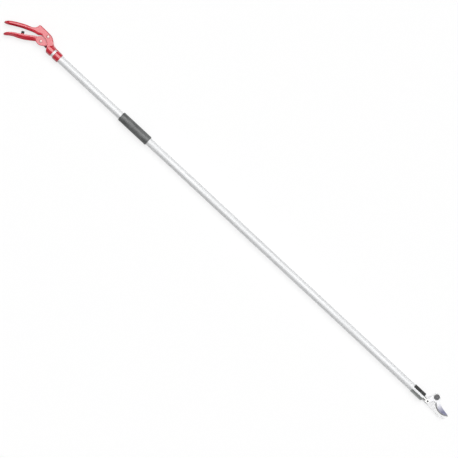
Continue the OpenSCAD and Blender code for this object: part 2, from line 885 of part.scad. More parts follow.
module blade_pin() {
    color([0.22, 0.22, 0.23])
        placed()
            at_head()
                translate([blade_pin_at[0], blade_pin_at[1], 0])
                    rotate_extrude()
                        polygon([
                            [0, blade_low + 0.2], [blade_pin_r, blade_low + 0.2],
                            [blade_pin_r, tab_top + 0.5],
                            [blade_pin_r - 0.7, tab_top + 1], [0, tab_top + 1],
                        ]);
}

pole_tube();
foam_sleeve();
handle_body();
front_collar();
collar_screws();
trigger();
fulcrum_pin();
fulcrum_bush();
side_washers();
rod_pin();
pin_washers();
rod_eye();
rod_locknut();
pull_rod();
rod_guides();
rear_bush();
return_spring();
spring_collar();
stop_bumper();
head_plug();
ferrule_saddle();
ferrule_cap();
ferrule_screws();
hook_blade();
cutting_blade();
pivot_bolt();
pivot_washer();
pivot_nut();
rod_end();
blade_pin();
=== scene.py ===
import json
import math

import bmesh
import bpy
import numpy as np
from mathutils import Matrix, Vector


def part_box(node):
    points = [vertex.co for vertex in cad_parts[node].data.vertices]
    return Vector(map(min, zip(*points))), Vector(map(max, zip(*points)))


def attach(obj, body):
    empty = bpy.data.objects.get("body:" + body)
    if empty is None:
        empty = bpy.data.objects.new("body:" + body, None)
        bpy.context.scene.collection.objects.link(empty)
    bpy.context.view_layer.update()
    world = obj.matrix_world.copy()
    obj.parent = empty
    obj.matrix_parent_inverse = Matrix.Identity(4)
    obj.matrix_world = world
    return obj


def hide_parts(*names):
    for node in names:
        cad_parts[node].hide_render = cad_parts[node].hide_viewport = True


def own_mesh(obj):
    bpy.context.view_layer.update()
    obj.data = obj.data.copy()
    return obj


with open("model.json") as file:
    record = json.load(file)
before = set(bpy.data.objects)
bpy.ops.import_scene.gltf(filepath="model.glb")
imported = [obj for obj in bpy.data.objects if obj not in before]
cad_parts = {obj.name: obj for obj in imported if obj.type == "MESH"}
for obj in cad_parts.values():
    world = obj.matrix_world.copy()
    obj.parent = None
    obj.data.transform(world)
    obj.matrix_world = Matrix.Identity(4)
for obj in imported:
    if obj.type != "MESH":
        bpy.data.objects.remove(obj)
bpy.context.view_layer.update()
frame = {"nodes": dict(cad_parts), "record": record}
nodes = frame["nodes"]
record = frame["record"]

MM = 0.001
POLE_Y = sum(c.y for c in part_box("pull_rod")) / 2
POLE_Z = sum(c.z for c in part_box("pull_rod")) / 2
SLOTS = {s["node"]: s["material_slot"] for s in record["subparts"]}
BODIES = {n: body for body, members in record["behaviour"]["bodies"].items() for n in members}
JOINTS = {j["name"]: j for j in record["behaviour"]["joints"]}


# Materials

# Sockets of a mix node that has colours
MIX_SHARE = 0
MIX_BELOW = 6
MIX_ABOVE = 7
MIX_RESULT = 2

# Half the width of a casting's parting line, and the worn crown and painted rim of a rivet's head
SEAM_HALF = 0.8 * MM
RIVET_CROWN_R = 1.4 * MM
RIVET_RIM_R = 4.4 * MM


class Finish:
    """A procedural material in the part's own coordinates, so textures move with the pieces."""

    def __init__(self, name, constants):
        self.material = bpy.data.materials.new(name)
        self.material.use_nodes = True
        self.tree = self.material.node_tree
        self.shader = self.tree.nodes["Principled BSDF"]
        for socket, value in constants.items():
            self.shader.inputs[socket].default_value = value
        self.coordinates = self.tree.nodes.new("ShaderNodeTexCoord").outputs["Object"]
        self.normal = None

    def add(self, kind, **settings):
        node = self.tree.nodes.new(kind)
        for name, value in settings.items():
            setattr(node, name, value)
        return node

    def link(self, output, target):
        self.tree.links.new(output, target)

    def placed(self, per_mm):
        """Coordinates with this many texture cells a millimetre, on every axis or along X, Y and Z."""
        if not isinstance(per_mm, tuple):
            per_mm = (per_mm, per_mm, per_mm)
        mapping = self.add("ShaderNodeMapping")
        mapping.inputs["Scale"].default_value = [n / MM for n in per_mm]
        self.link(self.coordinates, mapping.inputs["Vector"])
        return mapping.outputs["Vector"]

    def noise(self, per_mm, detail=3.0, rough=0.5):
        node = self.add("ShaderNodeTexNoise")
        node.inputs["Scale"].default_value = 1.0
        node.inputs["Detail"].default_value = detail
        node.inputs["Roughness"].default_value = rough
        self.link(self.placed(per_mm), node.inputs["Vector"])
        return node.outputs["Fac"]

    def cells(self, per_mm):
        node = self.add("ShaderNodeTexVoronoi")
        node.inputs["Scale"].default_value = 1.0
        self.link(self.placed(per_mm), node.inputs["Vector"])
        return node.outputs["Distance"]

    def spread(self, value, low, high, start=0.3, end=0.7):
        """low to high as the value goes from start to end."""
        node = self.add("ShaderNodeMapRange")
        for name, number in (("From Min", start), ("From Max", end), ("To Min", low), ("To Max", high)):
            node.inputs[name].default_value = number
        self.link(value, node.inputs["Value"])
        return node.outputs["Result"]

    def edges(self, start, end):
        """0 on open faces, rising to 1 along convex edges."""
        point = self.add("ShaderNodeNewGeometry").outputs["Pointiness"]
        return self.spread(point, 0.0, 1.0, start, end)

    def tones(self, value, stops):
        """Colours along a 0 to 1 value."""
        node = self.add("ShaderNodeValToRGB")
        ramp = node.color_ramp
        while len(ramp.elements) < len(stops):
            ramp.elements.new(0.5)
        for element, (place, colour) in zip(ramp.elements, stops):
            element.position = place
            element.color = (*colour, 1.0)
        self.link(value, node.inputs["Fac"])
        return node.outputs["Color"]

    def over(self, share, below, above):
        """A plain colour above laid on colours below by a share."""
        node = self.add("ShaderNodeMix", data_type="RGBA")
        self.link(share, node.inputs[MIX_SHARE])
        self.link(below, node.inputs[MIX_BELOW])
        node.inputs[MIX_ABOVE].default_value = (*above, 1.0)
        return node.outputs[MIX_RESULT]

    def product(self, one, other):
        node = self.add("ShaderNodeMath", operation="MULTIPLY")
        self.link(one, node.inputs[0])
        self.link(other, node.inputs[1])
        return node.outputs[0]

    def along(self, origin, direction, length):
        """0 at origin, 1 at length metres from it along a direction."""
        node = self.add("ShaderNodeVectorMath", operation="DOT_PRODUCT")
        node.inputs[1].default_value = direction
        self.link(self.coordinates, node.inputs[0])
        start = Vector(direction).dot(Vector(origin))
        return self.spread(node.outputs["Value"], 0.0, 1.0, start, start + length)

    def distance(self, middle):
        """Metres from an upright axis through middle."""
        mapping = self.add("ShaderNodeMapping")
        mapping.inputs["Location"].default_value = (-middle[0], -middle[1], 0.0)
        mapping.inputs["Scale"].default_value = (1.0, 1.0, 0.0)
        self.link(self.coordinates, mapping.inputs["Vector"])
        node = self.add("ShaderNodeVectorMath", operation="LENGTH")
        self.link(mapping.outputs["Vector"], node.inputs[0])
        return node.outputs["Value"]

    def tilted(self, start, end):
        """0 on faces square to Z, 1 on sloped faces: start and end are the slope's cosines."""
        node = self.add("ShaderNodeVectorMath", operation="DOT_PRODUCT")
        node.inputs[1].default_value = (0.0, 0.0, 1.0)
        self.link(self.add("ShaderNodeNewGeometry").outputs["True Normal"], node.inputs[0])
        size = self.add("ShaderNodeMath", operation="ABSOLUTE")
        self.link(node.outputs["Value"], size.inputs[0])
        return self.spread(size.outputs[0], 1.0, 0.0, start, end)

    def seam(self):
        """A casting's parting line: a narrow ridge on the pole's middle plane."""
        height = self.along((0.0, 0.0, POLE_Z - SEAM_HALF), (0.0, 0.0, 1.0), 2 * SEAM_HALF)
        flat = (0, 0, 0)
        ridge = (1, 1, 1)
        return self.tones(height, [(0.0, flat), (0.3, flat), (0.5, ridge), (0.7, flat), (1.0, flat)])

    def colour(self, output):
        self.link(output, self.shader.inputs["Base Color"])

    def roughness(self, output):
        self.link(output, self.shader.inputs["Roughness"])

    def bump(self, height, depth_mm, strength=1.0):
        node = self.add("ShaderNodeBump")
        node.inputs["Strength"].default_value = strength
        node.inputs["Distance"].default_value = depth_mm * MM
        self.link(height, node.inputs["Height"])
        if self.normal:
            self.link(self.normal, node.inputs["Normal"])
        self.normal = node.outputs["Normal"]
        self.link(self.normal, self.shader.inputs["Normal"])


def red_paint():
    """Gloss paint on a casting, with fine specks and rubbed edges."""
    f = Finish("red_paint", {
        "Specular IOR Level": 0.25, "Coat Weight": 1.0, "Coat IOR": 1.68, "Coat Roughness": 0.10,
    })
    base = f.tones(f.noise(0.03), [(0.3, (0.54, 0.006, 0.024)), (0.7, (0.62, 0.009, 0.032))])
    speck = f.spread(f.noise(0.9, 4.0), 0.0, 0.10, 0.55, 0.8)
    coat = f.over(speck, base, (0.66, 0.04, 0.06))
    rubbed = f.product(f.edges(0.53, 0.60), f.spread(f.noise(0.35, 5.0), 0.0, 0.5, 0.5, 0.65))
    f.colour(f.over(rubbed, coat, (0.72, 0.16, 0.17)))
    f.roughness(f.spread(f.noise(0.12, 4.0), 0.24, 0.36))
    f.bump(f.noise(0.7, 1.0), 0.02, 0.5)
    f.bump(f.seam(), 0.10, 0.8)
    return f.material


def satin_aluminium():
    """Drawn tube: long fine lines along the pole and duller patches."""
    f = Finish("satin_aluminium", {"Metallic": 1.0})
    drawn = f.noise((0.004, 2.2, 2.2), 4.0)
    base = f.tones(drawn, [(0.25, (0.84, 0.845, 0.85)), (0.75, (0.90, 0.905, 0.91))])
    dull = f.spread(f.noise((0.006, 0.05, 0.05), 3.0), 0.0, 0.35)
    f.colour(f.over(dull, base, (0.85, 0.855, 0.865)))
    f.roughness(f.spread(f.noise((0.01, 0.5, 0.5), 3.0), 0.72, 0.82))
    f.bump(drawn, 0.012, 0.5)
    return f.material


def cast_aluminium():
    f = Finish("cast_aluminium", {"Metallic": 0.85})
    grain = f.noise(1.6, 5.0)
    f.colour(f.tones(grain, [(0.3, (0.36, 0.375, 0.37)), (0.7, (0.47, 0.49, 0.48))]))
    f.roughness(f.spread(grain, 0.42, 0.56))
    f.bump(grain, 0.03, 0.6)
    return f.material


def grey_foam():
    """Closed foam with pores painted dark inside, a painted shade, and worn lighter in patches."""
    f = Finish("grey_foam", {"Specular IOR Level": 0.8})
    pores = f.cells(0.9)
    worn = f.noise((0.045, 0.11, 0.11), 4.0, 0.6)
    base = f.tones(worn, [(0.3, (0.066, 0.069, 0.069)), (0.7, (0.136, 0.140, 0.140))])
    # Dark spots in the pits of the pores: painted shade.
    f.colour(f.over(f.spread(pores, 0.4, 0.0, 0.05, 0.35), base, (0.035, 0.036, 0.037)))
    f.roughness(f.spread(f.noise(0.4), 0.40, 0.52))
    f.bump(pores, 0.16, 0.8)
    f.bump(f.noise(0.25, 2.0), 0.12, 0.5)
    return f.material


def black_plastic():
    f = Finish("black_plastic", {"Specular IOR Level": 0.5})
    grain = f.cells(2.4)
    base = f.noise(0.08)
    f.colour(f.tones(base, [(0.3, (0.020, 0.021, 0.021)), (0.7, (0.032, 0.034, 0.033))]))
    f.roughness(f.spread(grain, 0.42, 0.55, 0.1, 0.6))
    f.bump(grain, 0.03, 0.6)
    return f.material


def white_plastic():
    f = Finish("white_plastic", {"Subsurface Weight": 0.05})
    tint = f.noise(0.1)
    f.colour(f.tones(tint, [(0.3, (0.78, 0.78, 0.75)), (0.7, (0.84, 0.84, 0.82))]))
    f.roughness(f.spread(f.noise(0.6), 0.4, 0.5))
    return f.material


def black_rubber():
    f = Finish("black_rubber", {"Specular IOR Level": 0.35})
    grain = f.noise(1.8, 4.0)
    f.colour(f.tones(grain, [(0.3, (0.016, 0.013, 0.012)), (0.7, (0.028, 0.024, 0.022))]))
    f.roughness(f.spread(grain, 0.6, 0.8))
    f.bump(grain, 0.04, 0.6)
    return f.material


def steel(name, dark, light, rough, per_mm, depth_mm):
    """Metal with grinding or turning marks."""
    f = Finish(name, {"Metallic": 1.0})
    marks = f.noise(per_mm, 4.0)
    cloud = f.noise(0.06, 3.0)
    f.colour(f.over(f.spread(cloud, 0.0, 0.5), f.tones(marks, [(0.3, dark), (0.7, light)]), light))
    f.roughness(f.spread(marks, *rough))
    f.bump(marks, depth_mm, 0.5)
    return f.material


def blade_steel():
    """Ground steel whose colour is a painted reflection: bright round the pivot, dark violet in the middle
    and lighter at the tip, with a painted highlight on the sloped bevel.
    """
    f = Finish("blade_steel", {"Metallic": 1.0})
    low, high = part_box("cutting_blade")
    pivot_x, pivot_y, _ = JOINTS["blade_close"]["pos_m"]
    pivot = Vector((pivot_x, pivot_y, 0.0))
    tip = Vector((high.x, low.y, 0.0))
    marks = f.noise((0.3, 3.0, 1.0), 4.0)
    run = f.along(pivot, (tip - pivot).normalized(), (tip - pivot).length)
    # Painted reflection along the blade: bright near the pivot, dark violet in the middle, lighter at the
    # tip.
    tint = f.tones(run, [
        (0.28, (0.44, 0.44, 0.45)), (0.48, (0.22, 0.22, 0.26)), (0.66, (0.090, 0.090, 0.140)),
        (0.84, (0.105, 0.105, 0.155)), (0.97, (0.36, 0.36, 0.39)),
    ])
    ground = f.over(f.spread(marks, 0.0, 0.10), tint, (0.5, 0.5, 0.54))
    # Painted highlight: the sloped faces of the bevel are coloured lighter.
    f.colour(f.over(f.tilted(0.88, 0.97), ground, (0.72, 0.72, 0.73)))
    f.roughness(f.spread(marks, 0.36, 0.48))
    f.bump(marks, 0.008, 0.5)
    return f.material


def sprayed_zinc_and_painted_reflection(node):
    """A rivet painted over with the casting, with the paint worn thin on the crown of its head. The bare
    zinc's warm pink is partly thin overspray and partly painted reflection of the red casting round it.
    """
    f = Finish("sprayed_" + node, {"Metallic": 0.75, "Coat Weight": 0.4, "Coat Roughness": 0.2})
    low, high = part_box(node)
    middle = ((low.x + high.x) / 2, (low.y + high.y) / 2)
    rim = f.spread(f.distance(middle), 0.12, 0.7, RIVET_CROWN_R, RIVET_RIM_R)
    worn = f.noise(0.6, 4.0)
    # Warm pink zinc: partly overspray, partly painted reflection of the red paint round the rivet.
    zinc = f.tones(worn, [(0.3, (0.62, 0.56, 0.53)), (0.7, (0.70, 0.64, 0.60))])
    f.colour(f.over(rim, zinc, (0.55, 0.05, 0.06)))
    f.roughness(f.spread(worn, 0.42, 0.55))
    f.bump(worn, 0.01, 0.5)
    return f.material


def shaded_red_steel():
    """Dark steel coloured dark red: painted shade standing for the red casting in shadow round the rod's eye
    and its nut.
    """
    f = Finish("shaded_red_steel", {"Metallic": 0.35, "Specular IOR Level": 0.3})
    shade_mottle = f.noise(0.8, 4.0)
    # Dark reds: painted shade of the red casting round the eye and its nut.
    f.colour(f.tones(shade_mottle, [(0.35, (0.11, 0.028, 0.040)), (0.65, (0.23, 0.014, 0.034))]))
    f.roughness(f.spread(shade_mottle, 0.42, 0.56))
    f.bump(shade_mottle, 0.012, 0.5)
    return f.material


# Dark and light tone, roughness, marks a millimetre and their depth in millimetres
METALS = {
    "zinc_steel": ((0.44, 0.44, 0.435), (0.54, 0.54, 0.53), (0.32, 0.44), 0.8, 0.006),
    "bright_steel": ((0.47, 0.47, 0.475), (0.55, 0.55, 0.555), (0.46, 0.6), (3.0, 0.15, 1.0), 0.01),
    "dark_steel": ((0.07, 0.07, 0.072), (0.11, 0.11, 0.113), (0.34, 0.5), 1.2, 0.012),
    "spring_steel": ((0.38, 0.39, 0.40), (0.48, 0.49, 0.50), (0.3, 0.42), 1.0, 0.006),
    "bronze": ((0.50, 0.36, 0.17), (0.60, 0.45, 0.23), (0.32, 0.45), 0.9, 0.01),
}
FINISHES = {
    "red_paint": red_paint(),
    "satin_aluminium": satin_aluminium(),
    "cast_aluminium": cast_aluminium(),
    "grey_foam": grey_foam(),
    "black_plastic": black_plastic(),
    "white_plastic": white_plastic(),
    "black_rubber": black_rubber(),
    "blade_steel": blade_steel(),
    **{name: steel(name, *looks) for name, looks in METALS.items()},
}


def dress(obj, slot):
    obj.data.materials.clear()
    obj.data.materials.append(FINISHES[slot])


for name, obj in nodes.items():
    dress(obj, SLOTS[name])


# Pieces made here that stand for CAD nodes

def stand_for(obj, node):
    dress(obj, SLOTS[node])
    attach(obj, BODIES[node])
    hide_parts(node)
    return obj


def new_piece(name, mesh):
    obj = bpy.data.objects.new(name, mesh)
    bpy.context.scene.collection.objects.link(obj)
    return obj


def modify(obj, kind, **settings):
    added = obj.modifiers.new(kind.lower(), kind)
    for key, value in settings.items():
        setattr(added, key, value)


def settle(obj):
    """Applies the piece's modifiers."""
    graph = bpy.context.evaluated_depsgraph_get()
    mesh = bpy.data.meshes.new_from_object(obj.evaluated_get(graph))
    obj.modifiers.clear()
    obj.data = mesh


def smooth(obj, angle):
    """Shades the piece smooth, except on edges sharper than the angle."""
    for face in obj.data.polygons:
        face.use_smooth = True
    obj.data.set_sharp_from_angle(angle=math.radians(angle))


def welded_copy(node, name, whole_faces=True):
    """The node's shape as one welded mesh, with flat faces made whole again unless told not to."""
    mesh = bpy.data.meshes.new(name)
    bm = bmesh.new()
    bm.from_mesh(nodes[node].data)
    bmesh.ops.remove_doubles(bm, verts=bm.verts, dist=0.002 * MM)
    for edge in bm.edges:
        edge.smooth = True
    if whole_faces:
        bmesh.ops.dissolve_limit(bm, angle_limit=math.radians(0.4), verts=bm.verts, edges=bm.edges)
    bm.to_mesh(mesh)
    bm.free()
    return new_piece(name, mesh)


def closed_copy(node, name):
    """The node's shape as one closed mesh."""
    obj = welded_copy(node, name, whole_faces=False)
    smooth(obj, 15)
    return stand_for(obj, node)


def broken_edges(node, name, width_mm):
    """A machined piece: the node's shape with its sharp edges broken."""
    obj = welded_copy(node, name)
    smooth(obj, 180)
    modify(
        obj, "BEVEL", width=width_mm * MM, segments=2, limit_method="ANGLE",
        angle_limit=math.radians(38), use_clamp_overlap=False,
    )
    modify(obj, "WEIGHTED_NORMAL", mode="FACE_AREA", weight=100)
    settle(obj)
    return stand_for(obj, node)


closed_copy("pivot_nut", "serrated_nut")
closed_copy("fulcrum_pin", "fulcrum_rivet").data.materials[0] = sprayed_zinc_and_painted_reflection("fulcrum_pin")
closed_copy("rod_pin", "rod_rivet").data.materials[0] = sprayed_zinc_and_painted_reflection("rod_pin")


# The two castings with levers

CAST_VOXEL = 0.5 * MM
CAST_KEEP = 0.3

# The inner face of a cheek from the middle plane, and how far the web between the cheeks may swell
CHEEK_IN = 9.3 * MM
WEB_SWELL = 1.4 * MM
WEB_FROM = CHEEK_IN - 0.5 * MM
WEB_FADE = 0.6 * MM

# A lever is measured in slices; humps shorter than twice HUMP_REACH slices stand on it and aren't part of it
SLICE = 1.0 * MM
HUMP_REACH = 7
HUMP_START = 0.4 * MM
HUMP_FADE = 2 * MM
TIP_LENGTH = 14 * MM
TIP_LOSS = 0.75
ROUND_POWER = 1.3

# The outer skin of a lever, as shares of its half width
SKIN_FROM = 0.7
SKIN_FADE = 0.25

# The step where the cheeks end on the palm lever: its place along and across the lever, slant and height
PALM_LEAN = math.radians(29)
FINGER_LEAN = math.radians(33)
STEP_ALONG = 77.5 * MM
STEP_ACROSS = 368.6 * MM
STEP_SLANT = 0.185
STEP_HEIGHT = 0.76 * MM
STEP_WIDTH = 2.6 * MM
STEP_FADE = 24 * MM
STEP_NEAR = 4 * MM
STEP_SKIN_FROM = 0.75
STEP_SKIN_FADE = 0.2
LEVER_HALF = 12.8 * MM

# The body's back, which is rounded over, and its foot, which is turned down to the rear ring
BACK_FROM = -727 * MM
BACK_TO = -664 * MM
BACK_WIDTH = 3.2 * MM
BACK_DROP = 3.4 * MM
BACK_ENDS = 4 * MM
RING_R = 13.3 * MM
FOOT_X = -668.5 * MM
FOOT_Y = 12 * MM
FOOT_TURN = (0.845, 0.535)
FOOT_BLEND = 2.0 * MM


def opened(values, reach):
    """values with peaks narrower than twice the reach taken off."""
    span = 2 * reach + 1
    padded = np.pad(values, reach, mode="edge")
    low = np.array([padded[k:k + span].min() for k in range(len(values))])
    padded = np.pad(low, reach, mode="edge")
    return np.array([padded[k:k + span].max() for k in range(len(values))])


def eased(x):
    """0 to 1 with a soft start and end."""
    x = np.clip(x, 0, 1)
    return x * x * (3 - 2 * x)


def place_along(lean, x_mm, y_mm):
    return (x_mm * math.cos(lean) + y_mm * math.sin(lean)) * MM


def shape_lever(obj, lean, root, blend, crest, roof, low_growth, high_growth, low_round):
    """Gives a lever its rounded section. The lever runs down its lean to its tip, and its section is
    full at the root, a place along the lean. It turns over at crest (-1 to 1 across it), and roof is
    what it loses from there to its low and high edges and the power of that fall. Each growth is a
    list of places from the tip and how far the low or high edge swells out there, in millimetres.
    low_round rounds the low edge: width and drop in millimetres."""
    co = np.empty(len(obj.data.vertices) * 3)
    obj.data.vertices.foreach_get("co", co)
    co = co.reshape(-1, 3)
    run = co[:, 0] * math.cos(lean) + co[:, 1] * math.sin(lean)
    side = co[:, 1] * math.cos(lean) - co[:, 0] * math.sin(lean)
    depth = co[:, 2] - POLE_Z
    tip = run.min()
    reach = tip + max(low_growth[-1][0], high_growth[-1][0]) * MM
    stations = np.arange(tip, max(root, reach) + SLICE, SLICE)
    place = np.digitize(run, stations) - 1
    slices = [place == k for k in range(len(stations) - 1)]
    middles = stations[:-1] + SLICE / 2
    low = np.interp(run, middles, [side[k].min() for k in slices])
    high = np.interp(run, middles, opened(np.array([side[k].max() for k in slices]), HUMP_REACH))
    half = np.interp(run, middles, [np.abs(depth[k]).max() for k in slices])
    skin = eased((np.abs(depth) / half - SKIN_FROM) / SKIN_FADE)
    on_lever = 1 - eased((side - high - HUMP_START) / HUMP_FADE)

    s = np.clip((2 * side - low - high) / (high - low), -1, 1)
    low_loss, high_loss, power = roof
    t = np.where(s < crest, (crest - s) / (1 + crest), (s - crest) / (1 - crest))
    crown = 1 - np.where(s < crest, low_loss, high_loss) * t ** power
    end = np.clip((run - tip) / TIP_LENGTH, 0, 1)
    crown *= np.sqrt(1 - TIP_LOSS * (1 - end) ** 2)
    share = eased((root - run) / blend) * on_lever

    from_tip = (run - tip) / MM
    swell_low = np.interp(from_tip, *zip(*low_growth)) * MM
    swell_high = np.interp(from_tip, *zip(*high_growth)) * MM
    past_web = eased((np.abs(depth) - WEB_FROM) / WEB_FADE)
    swell_low -= (1 - past_web) * np.maximum(swell_low - WEB_SWELL, 0)
    width, drop = (n * MM for n in low_round)
    near = np.clip(1 - (side - low) / width, 0, 1)
    drop = drop * near ** ROUND_POWER * np.clip(swell_low / MM, 0, 1)

    depth = depth * (1 - share * (1 - crown))
    depth -= np.sign(depth) * skin * drop
    side += on_lever * s * np.abs(s) * np.where(s < 0, swell_low, swell_high)
    co[:, 0] = run * math.cos(lean) - side * math.sin(lean)
    co[:, 1] = run * math.sin(lean) + side * math.cos(lean)
    co[:, 2] = POLE_Z + depth
    obj.data.vertices.foreach_set("co", co.ravel())


def soften(obj, picks, rounds):
    """Evens out the picked vertices of a fine mesh."""
    bm = bmesh.new()
    bm.from_mesh(obj.data)
    bm.verts.ensure_lookup_table()
    picked = [bm.verts[k] for k in picks]
    for _ in range(rounds):
        bmesh.ops.smooth_vert(bm, verts=picked, factor=0.5, use_axis_x=True, use_axis_y=True, use_axis_z=True)
    bm.to_mesh(obj.data)
    bm.free()


def fade_step(obj):
    """Fades the step where the cheeks end on the palm lever into the lever's sides."""
    along, across = math.cos(PALM_LEAN), math.sin(PALM_LEAN)
    tip = min(v.co.x * along + v.co.y * across for v in obj.data.vertices)
    faded = []
    for v in obj.data.vertices:
        side = v.co.y * along - v.co.x * across
        slant = STEP_SLANT * (side - STEP_ACROSS)
        past = v.co.x * along + v.co.y * across - tip - STEP_ALONG - slant
        depth = v.co.z - POLE_Z
        skin = eased((abs(depth) / LEVER_HALF - STEP_SKIN_FROM) / STEP_SKIN_FADE)
        rise = eased(1 + past / STEP_FADE) * (1 - eased(0.5 + past / STEP_WIDTH))
        depth *= 1 + float(skin * rise) * STEP_HEIGHT / LEVER_HALF
        v.co.z = POLE_Z + min(max(depth, -POLE_Z), POLE_Z)
        if abs(past) < STEP_NEAR and skin > 0:
            faded.append(v.index)
    soften(obj, faded, 14)


def round_back(obj):
    """Rounds the cheeks over along the body's back, from the hump to the rear ring."""
    inside = [v for v in obj.data.vertices if BACK_FROM < v.co.x < BACK_TO]
    count = round((BACK_TO - BACK_FROM) / MM)
    tops = np.zeros(count)
    for v in inside:
        k = min(int((v.co.x - BACK_FROM) / MM), count - 1)
        tops[k] = max(tops[k], v.co.y)
    places = BACK_FROM + (np.arange(count) + 0.5) * MM
    square = np.cos(np.arctan(np.gradient(tops, MM)))
    rounded = []
    for v in inside:
        below = np.interp(v.co.x, places, tops) - v.co.y
        near = 1 - below * np.interp(v.co.x, places, square) / BACK_WIDTH
        ends = eased(min(v.co.x - BACK_FROM, BACK_TO - v.co.x) / BACK_ENDS)
        if near > 0:
            drop = BACK_DROP * (1 - math.sqrt(1 - min(near, 1) ** 2)) * float(ends)
            v.co.z = POLE_Z + (v.co.z - POLE_Z) * (1 - drop / RING_R)
            rounded.append(v.index)
    soften(obj, rounded, 8)


def turn_foot(obj):
    """Turns the body's foot down to the rear ring past the line where the cheeks end."""
    for v in obj.data.vertices:
        x, y, z = v.co
        past_corner = (x - FOOT_X) * FOOT_TURN[0] - (y - FOOT_Y) * FOOT_TURN[1]
        share = float(eased(min(past_corner, x - FOOT_X) / FOOT_BLEND))
        radius = math.hypot(y - POLE_Y, z - POLE_Z)
        if share > 0 and radius > RING_R and y - POLE_Y < RING_R:
            shrink = 1 - share * (1 - RING_R / radius)
            v.co.y = POLE_Y + (y - POLE_Y) * shrink
            v.co.z = POLE_Z + (z - POLE_Z) * shrink


def cast_skin(node, name, rounds, lever, more=()):
    """A cast piece: the node's shape with every edge rounded over as a casting's are."""
    obj = welded_copy(node, name)
    modify(obj, "REMESH", mode="VOXEL", voxel_size=CAST_VOXEL, adaptivity=0.0)
    modify(obj, "SMOOTH", factor=0.5, iterations=rounds)
    settle(obj)
    shape_lever(obj, **lever)
    for shape in more:
        shape(obj)
    modify(obj, "DECIMATE", ratio=CAST_KEEP)
    settle(obj)
    smooth(obj, 60)
    stand_for(obj, node)


PALM_LEVER = {
    "lean": PALM_LEAN,
    "root": place_along(PALM_LEAN, -738, 14),
    "blend": 22 * MM,
    "crest": -0.15,
    "roof": (0.40, -0.14, 1.5),
    "low_growth": [(0, 0.0), (12, 1.1), (55, 1.4), (79, 2.5), (96, 4.2), (110, 0.0)],
    "high_growth": [(0, 0.8), (10, 1.5), (58, 1.9), (76, 0.0)],
    "low_round": (4.0, 2.2),
}
FINGER_LEVER = {
    "lean": FINGER_LEAN,
    "root": place_along(FINGER_LEAN, -708, 9),
    "blend": 12 * MM,
    "crest": 0.5,
    "roof": (0.60, 0.0, 1.25),
    "low_growth": [(0, 0.5), (10, 0.9), (66, 1.2), (84, 0.8), (92, 0.0)],
    "high_growth": [(0, 0.7), (8, 1.2), (48, 1.3), (66, 0.8), (88, 0.4), (94, 0.0)],
    "low_round": (4.0, 1.5),
}
cast_skin("handle_body", "cast_handle", 14, PALM_LEVER, (fade_step, round_back, turn_foot))
cast_skin("trigger", "cast_trigger", 10, FINGER_LEVER)


# The sleeve, the spring and the rod, swept round or along the pole

def lathe(name, profile, sides):
    """A closed ring swept round the pole: profile is a loop of (x, radius) in metres."""
    mesh = bpy.data.meshes.new(name)
    bm = bmesh.new()
    rings = []
    for k in range(sides):
        a = 2 * math.pi * k / sides
        rings.append([
            bm.verts.new((x, POLE_Y + r * math.cos(a), POLE_Z + r * math.sin(a))) for x, r in profile
        ])
    for k in range(sides):
        here, there = rings[k], rings[(k + 1) % sides]
        for i in range(len(profile)):
            j = (i + 1) % len(profile)
            bm.faces.new((here[i], there[i], there[j], here[j]))
    bmesh.ops.recalc_face_normals(bm, faces=bm.faces)
    bm.to_mesh(mesh)
    bm.free()
    return new_piece(name, mesh)


def foam_grip():
    """The slipped-on sleeve, with soft round ends and drawn in a little next to each."""
    low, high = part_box("foam_sleeve")
    tube_low, tube_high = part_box("pole_tube")
    slip_gap = 0.1 * MM
    end_r = 1.9 * MM
    end_steps = 8
    waist_depth = 0.16 * MM
    waist_at = 7 * MM
    waist_width = 4 * MM
    steps = 44
    outer = (high.z - low.z) / 2
    bore = (tube_high.z - tube_low.z) / 2 + slip_gap
    straight = high.x - low.x - 2 * end_r
    turns = [math.pi / 2 * k / end_steps for k in range(end_steps + 1)]
    left = [(low.x + end_r * (1 - math.cos(a)), outer - end_r * (1 - math.sin(a))) for a in turns]
    right = [(low.x + high.x - x, r) for x, r in reversed(left)]
    middle = []
    for k in range(1, steps):
        x = straight * k / steps
        near = min(x, straight - x)
        waist = waist_depth * math.exp(-((near - waist_at) / waist_width) ** 2)
        middle.append((low.x + end_r + x, outer - waist))
    loop = [(low.x, bore)] + left + middle + right + [(high.x, bore)]
    grip = lathe("foam_grip", loop, 96)
    smooth(grip, 50)
    stand_for(grip, "foam_sleeve")


def skin_rings(name, rings):
    """A closed tube through rings of points, each ring the same length, with both ends capped."""
    mesh = bpy.data.meshes.new(name)
    bm = bmesh.new()
    loops = [[bm.verts.new(p) for p in ring] for ring in rings]
    sides = len(loops[0])
    for here, there in zip(loops, loops[1:]):
        for k in range(sides):
            bm.faces.new((here[k], here[(k + 1) % sides], there[(k + 1) % sides], there[k]))
    bm.faces.new(loops[0])
    bm.faces.new(loops[-1])
    bmesh.ops.recalc_face_normals(bm, faces=bm.faces)
    bm.to_mesh(mesh)
    bm.free()
    return new_piece(name, mesh)


